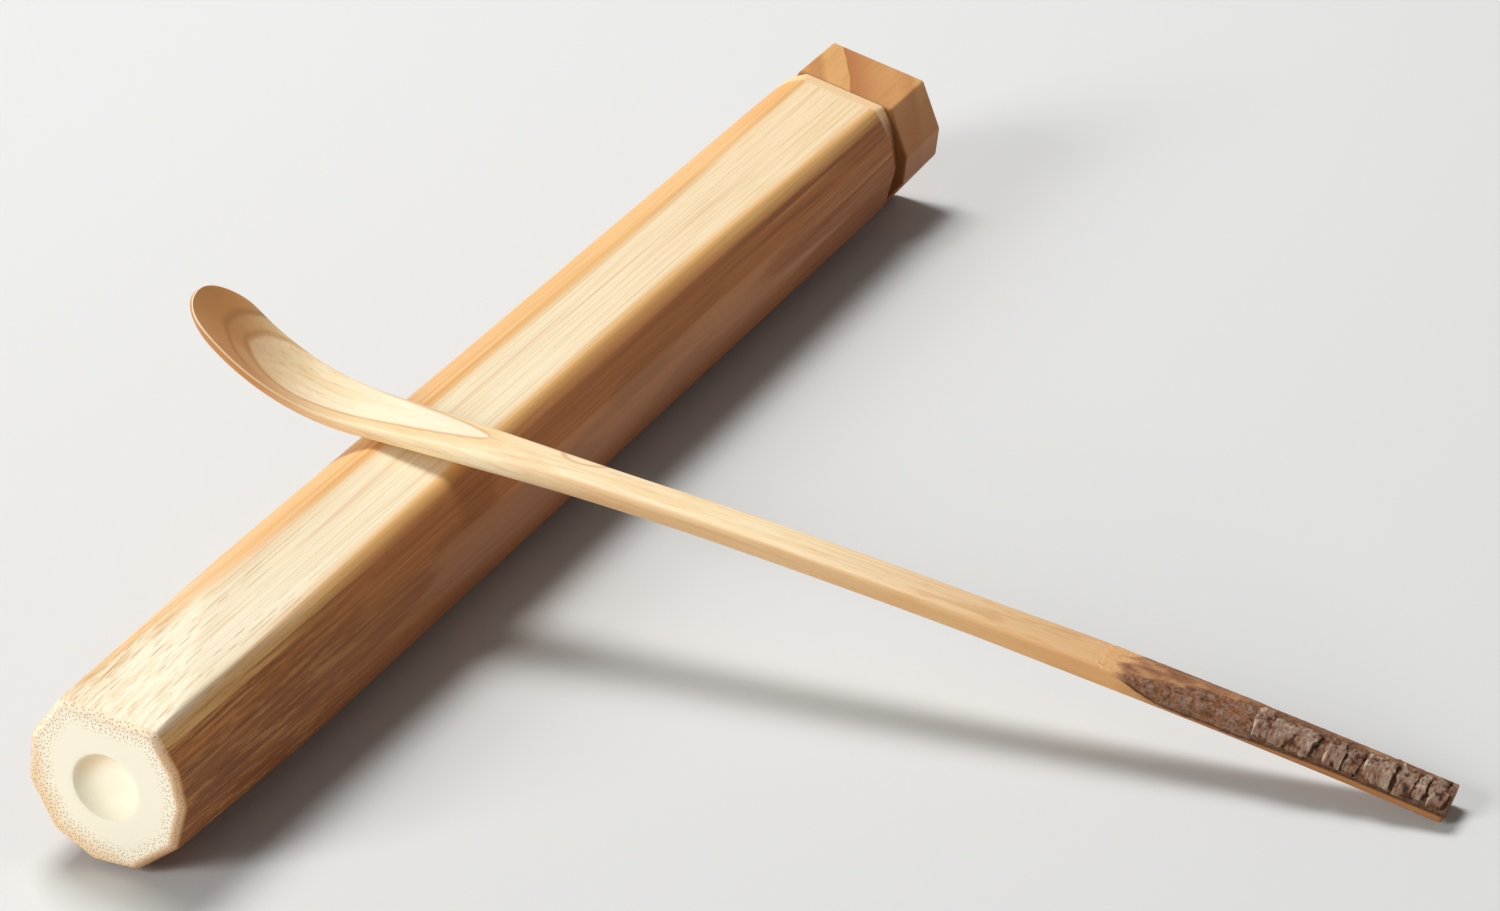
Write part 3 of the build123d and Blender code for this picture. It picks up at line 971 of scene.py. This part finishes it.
class TEASCOOP_OT_inner_bark(Operator):
    """Lay the inner bark over the end of the handle, smooth on the far side and flaky on the near one"""

    bl_idname = "tea_scoop.inner_bark"
    bl_label = "Inner bark"

    def execute(self, context):
        """Makes rings of bark from its bed to its surface."""
        settings = context.scene.tea_scoop
        lie = ScoopLie(settings)
        bm = bmesh.new()
        layers = [bm.verts.layers.float.new(name) for name in ("flakes", "thin", "pits")]
        rings = []
        for step in range(BARK_RINGS + 1):
            run = BARK_LENGTH * step / BARK_RINGS
            covered = ease(lie.bark_edge(run * MM, 0.0) / MM, *START_PLACE)
            half = lie.widths(run * MM)[0] / MM - SIDE_GAP - START_NARROW * (1.0 - covered)
            near = self.half_section(lie, run, half, 1.0, NEAR_CORNER, NEAR_WALL)
            far = self.half_section(lie, run, half, -1.0, FAR_CORNER, FAR_WALL)
            section = near + far[::-1]
            points = [lie.spot(run * MM, side * MM, height * MM) for side, height, _ in section]
            rings.append(add_ring(bm, points, layers, [tones for _, _, tones in section]))
        skin_rings(bm, rings)
        material = inner_bark(settings, lie)
        finish_piece(bm, "handle_inner_bark", "scoop", "scoop_bark", material, crease=70.0)
        return {"FINISHED"}

    def half_section(self, lie, run, half, hand, corner, wall):
        """Side, height and tones of the points up a wall, round its corner and in to the top's middle."""
        top = lie.top(run * MM, hand * half * MM) / MM
        bed = min(lie.bark_bed(run * MM, hand * half * MM) / MM - FOOT_SUNK, top - WALL_LEAST)
        corner = min(corner, CORNER_MOST * (top - bed))
        flat = half - corner
        points = []
        for index in range(wall):
            height = bed + (top - corner - bed) * index / wall
            reach = flat + corner * QUARTER + top - corner - height
            rise, (flakes, thin, pits) = self.surface(lie, run, hand * reach)
            groove = ease(height - bed, *GROOVE_PLACE)
            side = hand * (half + rise - FOOT_GROOVE * groove)
            # Painted shade darkens the groove along the foot.
            points.append((side, height, (flakes, thin, pits + groove)))
        for index in range(CORNER_POINTS):
            bend = QUARTER * index / CORNER_POINTS
            side = flat + corner * math.cos(bend)
            height = lie.top(run * MM, hand * side * MM) / MM - corner * (1.0 - math.sin(bend))
            rise, tones = self.surface(lie, run, hand * (flat + corner * (QUARTER - bend)))
            points.append((hand * (side + rise * math.cos(bend)), height + rise * math.sin(bend), tones))
        for index in range(BARK_POINTS):
            side = hand * flat * (1.0 - index / BARK_POINTS)
            rise, tones = self.surface(lie, run, side)
            points.append((side, lie.top(run * MM, side * MM) / MM + rise, tones))
        return points

    def surface(self, lie, run, side):
        """Height over the blade's full top, and flakes, thinness, pits and painted shade, at a place in
        millimetres.
        """
        scale = lie.bark.scale / MM
        inside = lie.bark_edge(run * MM, side * MM) / MM + 1.3 * ripple(run * 0.35, side * 0.6, 3.1)
        flaky = ease(side - self.flake_edge(run) + 0.8 * ripple(run * 0.45, side * 0.7, 7.7), -0.5, 0.6)
        flaky *= ease(inside, 2.0, 6.0)
        split = splits(run / scale * 0.8, side / scale, 4.4)
        lumps = 0.45 + 0.8 * ripple(run * 0.8, side, 1.3, 3)
        grit = ripple(run * 2.6, side * 2.6, 17.1, 3)
        scab = (0.6 + 0.4 * ease(split, 0.02, 0.3)) * lumps + 0.25 * grit
        under_plates = ease(run, 27.4, 25.8)
        rise = -0.32 + 0.38 * ease(inside, -2.6, 1.4) + 0.03 * ripple(run * 1.8, side * 3.0, 5.5)
        rise += flaky * lie.bark.flake / MM * (scab - 0.3)
        rise -= under_plates * (0.08 + 0.14 * ease(side, 1.6, 2.9))
        ragged = 2.0 * ripple(run * 0.4, side * 0.8, 9.9, 3)
        thin = ease(inside + ragged + 0.5 * min(side, 3.0), 5.4, 2.6) * (1.0 - 0.7 * flaky)
        pits = flaky * (0.25 * ease(split, 0.14, 0.02) + 0.8 * ease(lumps + 0.3 * grit, 0.3, 0.02))
        # Painted shade in the gaps under the plates, and along the near side below them.
        pits += under_plates * (0.25 + 0.5 * ripple(run * 1.3, side * 1.5, 13.7, 3)) * ease(side, -2.6, -1.2)
        pits += under_plates * 0.35 * ease(side, 2.6, 3.2)
        return rise, (flaky * (0.45 + 0.6 * ease(lumps, 0.2, 0.7)), thin, pits)

    def flake_edge(self, run):
        """Side at which the flaky band starts."""
        if run <= FLAKE_EDGE[0][0]:
            return FLAKE_EDGE[0][1]
        for (start, low), (end, high) in zip(FLAKE_EDGE, FLAKE_EDGE[1:]):
            if run <= end:
                return low + (high - low) * (run - start) / (end - start)
        return FLAKE_EDGE[-1][1]


class TEASCOOP_OT_outer_bark(Operator):
    """Set the cracked plates of outer bark on the end of the handle"""

    bl_idname = "tea_scoop.outer_bark"
    bl_label = "Outer bark"

    def execute(self, context):
        """Makes each plate as its own closed lump."""
        settings = context.scene.tea_scoop
        lie = ScoopLie(settings)
        bm = bmesh.new()
        crests = bm.verts.layers.float.new("crest")
        for number, plate in enumerate(BARK_PLATES):
            self.add_plate(bm, lie, crests, plate, FIRST_SEED + SEED_STEP * number)
        material = outer_bark(settings, lie)
        finish_piece(bm, "handle_outer_bark", "scoop", "bark_plates", material, crease=75.0)
        return {"FINISHED"}

    def add_plate(self, bm, lie, crests, plate, seed):
        """A lump with broken edges, sunk a little into the inner bark."""
        start, end, _, far, near = plate
        steps = max(int((end - start) / PLATE_STEP), PLATE_STEPS)
        rings = []
        for step in range(steps + 1):
            run = start + (end - start) * step / steps
            sides = [near + (far - near) * index / PLATE_POINTS for index in range(PLATE_POINTS + 1)]
            surface = [(side, *self.surface(lie.bark, plate, seed, run, side)) for side in sides]
            surface += [(side, -PLATE_SUNK, 0.0) for side in (far, near)]
            points = [lie.over_bark(run * MM, side * MM, rise * MM) for side, rise, _ in surface]
            rings.append(add_ring(bm, points, [crests], [[tone] for _, _, tone in surface]))
        skin_rings(bm, rings)

    def surface(self, bark, plate, seed, run, side):
        """Height over the inner bark and tone of a plate at a place in millimetres."""
        start, end, height, far, near = plate
        broken = 0.5 * ripple(run * 0.4, side * 0.5, seed) + 0.3 * ripple(run * 1.7, side * 1.7, seed + 5.0)
        skew = 0.16 * (side - 0.7) * math.sin(seed)
        along = min(run - start - skew, end - run + skew) + 0.1 + broken * 0.8
        beside = min(near - side + 0.2, side - far) + broken
        body = ease(along, 0.0, 0.3) * ease(beside, 0.0, 0.4)
        crust = ripple(run * 0.55, side * 0.4, seed + 1.0, 3)
        fine = ripple(run * 2.2, side * 1.3, seed + 2.0, 4)
        crack = ease(splits(run * 0.2 + 0.2 * crust, side * 0.16, seed), 0.09, 0.01)
        lip = math.exp(-((end - run - 0.5 + 0.5 * crust) / 0.3) ** 2)
        lip *= ease(ripple(side * 0.4, seed * 1.7, 2.2), -0.2, 0.25)
        rise = height + bark.crust / MM * crust + 0.06 * fine + 0.12 * lip - 0.08 * crack
        # Partly painted light: paler on high plates and lips, darker on low plates and down the edges.
        tone = 0.42 + 0.6 * (height - 0.55) + 0.4 * crust + 0.36 * fine + 0.5 * lip - 0.2 * crack
        return (rise + EDGE_SUNK) * body - EDGE_SUNK, tone * ease(body, 0.35, 1.0)


class TEASCOOP_OT_case(Operator):
    """Turn the bamboo case with its bore and the hollow in its closed end, and whittle it flat and faceted"""

    bl_idname = "tea_scoop.case"
    bl_label = "Bamboo case"

    def execute(self, context):
        """Spins the case's profile and cuts its outside back to the flats."""
        settings = context.scene.tea_scoop
        case = settings.case
        bm = bmesh.new()
        line = [bm.verts.new((radius, y, case.axis_height)) for radius, y in self.profile(case)]
        edges = [bm.edges.new(pair) for pair in zip(line, line[1:])]
        bmesh.ops.spin(
            bm, geom=line + edges, cent=(0.0, 0.0, case.axis_height), axis=XYZ[1],
            angle=2.0 * math.pi, steps=CASE_TURNS, use_merge=True,
        )
        bmesh.ops.remove_doubles(bm, verts=bm.verts, dist=0.0005 * MM)
        self.whittle(bm, case)
        finish_piece(bm, "bamboo_case", "case", "case_tube", bamboo(settings), crease=32.0)
        return {"FINISHED"}

    def profile(self, case):
        """Radius and place along the culm: hollow, closed end, outside, mouth and bore."""
        points = []
        for step in range(CUP_POINTS + 1):
            share = math.sin(QUARTER * step / CUP_POINTS)
            depth = case.cup_depth * (1.0 - share ** CUP_FLATNESS)
            points.append((case.cup_radius * share, BASE_Y + depth + LIP_HEIGHT))
        points.append((case.cup_radius + CUP_LIP, BASE_Y))
        span = case.culm_radius - case.cup_radius
        points += [(case.cup_radius + span * share, BASE_Y) for share in END_SHARES]
        for low, high, face in CASE_STRETCHES:
            count = round((high - low) / face)
            places = [low + (high - low) * index / count for index in range(count)]
            points += [(case.culm_radius, BASE_Y + place * MM) for place in places]
        points.append((case.culm_radius, MOUTH_Y))
        wall = case.culm_radius - case.bore_radius
        points += [(case.bore_radius + wall * share, MOUTH_Y) for share in MOUTH_SHARES]
        points.append((case.bore_radius, MOUTH_Y - BORE_BREAK))
        floor = BASE_Y + case.closed_end
        bore = [MOUTH_Y + (floor - MOUTH_Y) * index / BORE_RINGS for index in range(1, BORE_RINGS + 1)]
        points += [(case.bore_radius, place) for place in bore]
        points += [(case.bore_radius * share, floor) for share in FLOOR_SHARES]
        return points

    def cuts(self, case):
        """Turn, distance from the axis, its growth and where that starts, for each flat, cut and bevel."""
        radius = case.culm_radius
        turns = (0.0, case.side_turn, math.pi - case.face_turn)
        depths = (case.face_depth, case.side_depth, case.rest_depth)
        cuts = [(turn, radius - depth, 0.0, BASE_Y) for turn, depth in zip(turns, depths)]
        for degrees, depth, run in BASE_CUTS:
            turn, reach = math.radians(degrees), radius - depth * MM
            cuts.append((turn, reach, depth / run, BASE_Y))
            cuts.append((turn, reach - case.base_break, 1.0, BASE_Y))
        for degrees, depth, run in MOUTH_CUTS:
            cuts.append((math.radians(degrees), radius - depth * MM, -depth / run, MOUTH_Y))
        for degrees, depth, bevel in MOUTH_BEVELS:
            reach = radius - (depth + bevel) * MM
            cuts.append((math.radians(degrees), reach, -bevel * MM / case.bevel_length, MOUTH_Y))
        return [(turn + case.face_turn, reach, growth, start) for turn, reach, growth, start in cuts]

    def whittle(self, bm, case):
        """Moves the outside in to the nearest cut, with soft edges, and the end faces with it."""
        cuts = self.cuts(case)
        radius = case.culm_radius
        sharp = 1.0 / case.edge_softness
        insets = bm.verts.layers.float.new("inset")
        for vert in bm.verts:
            x, z = vert.co.x, vert.co.z - case.axis_height
            out = math.hypot(x, z)
            inner = case.bore_radius if vert.co.y > 0.0 else case.cup_radius + CUP_LIP
            if out <= inner + INNER_MARGIN:
                vert[insets] = INNER_INSET
                continue
            turn = math.atan2(x, z)
            total = 1.0
            for cut_turn, reach, growth, start in cuts:
                facing = math.cos(turn - cut_turn)
                if facing > CUT_FACING:
                    limit = (reach + growth * (vert.co.y - start)) / facing
                    if limit < radius + CUT_MARGIN:
                        total += math.exp((radius - limit) * sharp)
            limit = radius - math.log(total) / sharp
            scale = (inner + (out - inner) * (limit - inner) / (radius - inner)) / out
            vert[insets] = (limit - out * scale) / MM
            vert.co.x = x * scale
            vert.co.z = case.axis_height + z * scale


class TEASCOOP_OT_stopper(Operator):
    """Cut the stopper's many-sided head and turn the plug under it"""

    bl_idname = "tea_scoop.stopper"
    bl_label = "Case stopper"

    def execute(self, context):
        """Extrudes and bevels the head, and sets the plug a little way into it."""
        settings = context.scene.tea_scoop
        case, stopper = settings.case, settings.stopper
        bm = bmesh.new()
        sides = len(STOPPER_CORNERS)
        corners = bmesh.ops.create_circle(bm, cap_ends=True, segments=sides, radius=1.0)["verts"]
        for vert, degrees in zip(corners, STOPPER_CORNERS):
            turn = math.radians(degrees) + case.face_turn
            reach = stopper.corner_radius
            vert.co = (reach * math.sin(turn), MOUTH_Y, case.axis_height + reach * math.cos(turn))
        drawn_out(bm, corners[0].link_faces[0], stopper.head_length)
        break_edges(bm, bm.edges[:], stopper.edge_break, segments=3)
        seat = Matrix.Translation((0.0, MOUTH_Y + stopper.edge_break, case.axis_height))
        plug = bmesh.ops.create_circle(
            bm, cap_ends=True, segments=PLUG_SIDES, radius=stopper.plug_radius,
            matrix=seat @ Matrix.Rotation(QUARTER, 4, "X"),
        )["verts"]
        end = drawn_out(bm, plug[0].link_faces[0], -stopper.plug_length - stopper.edge_break)
        break_edges(bm, end.edges[:], stopper.plug_lead, segments=2)
        material = stopper_wood(settings)
        piece = finish_piece(
            bm, "case_stopper_head", "stopper", "case_stopper", material, crease=40.0
        )
        weighted = piece.modifiers.new("even_normals", "WEIGHTED_NORMAL")
        weighted.keep_sharp = True
        weighted.weight = 90
        return {"FINISHED"}


class TEASCOOP_OT_stage(Operator):
    """Set out the floor, the light and the camera"""

    bl_idname = "tea_scoop.stage"
    bl_label = "Floor, light and camera"

    def execute(self, context):
        """Makes a plain pale floor, soft light from the left and the photograph's camera."""
        settings = context.scene.tea_scoop
        stage = settings.stage
        bm = bmesh.new()
        bmesh.ops.create_circle(bm, cap_ends=True, segments=96, radius=FLOOR_RADIUS)
        mesh = bpy.data.meshes.new("floor")
        bm.to_mesh(mesh)
        bm.free()
        mesh.materials.append(floor_paint(settings))
        floor = bpy.data.objects.new("floor", mesh)
        context.scene.collection.objects.link(floor)
        self.add_light(context, "key", place=(-0.45, 0.3, 1.2), watts=stage.key_power, width=0.55)
        self.add_light(context, "front", place=(-0.95, -1.72, 0.9), watts=stage.front_power, width=0.8)
        self.add_sky(context, stage)
        self.add_camera(context)
        context.scene.view_settings.view_transform = "Standard"
        return {"FINISHED"}

    def add_light(self, context, name, place, watts, width):
        """A square soft light that faces the scoop."""
        lamp = bpy.data.lights.new(name, "AREA")
        lamp.energy = watts
        lamp.size = width
        light = bpy.data.objects.new(name, lamp)
        light.location = place
        light.rotation_euler = (Vector(LIGHT_AIM) - light.location).to_track_quat("-Z", "Y").to_euler()
        context.scene.collection.objects.link(light)

    def add_sky(self, context, stage):
        """Even light all round, and a pale backdrop for the camera."""
        world = bpy.data.worlds.new("sky")
        world.use_nodes = True
        context.scene.world = world
        shader = Shader("sky", world.node_tree)
        seen = 0.0
        for ray in ("Is Camera Ray", "Is Glossy Ray", "Is Transmission Ray"):
            seen = shader.node("ShaderNodeLightPath", None, None, ray) + seen
        strength = shader.rise(seen, 0.0, 1.0) * (1.0 - stage.sky) + stage.sky
        backdrop = shader.node("ShaderNodeBackground", None, {"Color": (*WHITE, 1.0), "Strength": strength})
        shader.node("ShaderNodeOutputWorld", None, {"Surface": backdrop})

    def add_camera(self, context):
        """The photograph's camera, fitted to the edges of the case and the scoop."""
        data = bpy.data.cameras.new("camera")
        data.sensor_width = SENSOR_WIDTH
        data.lens = SENSOR_WIDTH * FOCAL_PIXELS / PHOTO_WIDTH
        data.clip_start = 0.01
        data.clip_end = 50.0
        camera = bpy.data.objects.new("camera", data)
        camera.location = CAMERA_PLACE
        camera.rotation_euler = Vector(CAMERA_SIGHT).to_track_quat("-Z", "Y").to_euler()
        context.scene.collection.objects.link(camera)
        context.scene.camera = camera


OPERATORS = (
    TEASCOOP_OT_blade,
    TEASCOOP_OT_inner_bark,
    TEASCOOP_OT_outer_bark,
    TEASCOOP_OT_case,
    TEASCOOP_OT_stopper,
    TEASCOOP_OT_stage,
)


class TEASCOOP_PT_panel(Panel):
    """Lists the pieces in the sidebar"""

    bl_idname = "TEASCOOP_PT_panel"
    bl_label = "Tea scoop"
    bl_space_type = "VIEW_3D"
    bl_region_type = "UI"
    bl_category = "Tea scoop"

    def draw(self, context):
        """Shows a button for each piece."""
        for operator in OPERATORS:
            self.layout.operator(operator.bl_idname)


CLASSES = (
    CaseSizes,
    StopperSizes,
    ScoopSizes,
    BarkSizes,
    Finishes,
    StageSettings,
    TeaScoopSettings,
    *OPERATORS,
    TEASCOOP_PT_panel,
)


def register():
    """Adds the classes and the settings."""
    for entry in CLASSES:
        bpy.utils.register_class(entry)
    bpy.types.Scene.tea_scoop = PointerProperty(type=TeaScoopSettings)


def unregister():
    """Takes the settings and the classes away again."""
    del bpy.types.Scene.tea_scoop
    for entry in reversed(CLASSES):
        bpy.utils.unregister_class(entry)


def main():
    """Builds the whole model."""
    register()
    bpy.ops.tea_scoop.blade()
    bpy.ops.tea_scoop.inner_bark()
    bpy.ops.tea_scoop.outer_bark()
    bpy.ops.tea_scoop.case()
    bpy.ops.tea_scoop.stopper()
    bpy.ops.tea_scoop.stage()


if __name__ == "__main__":
    main()
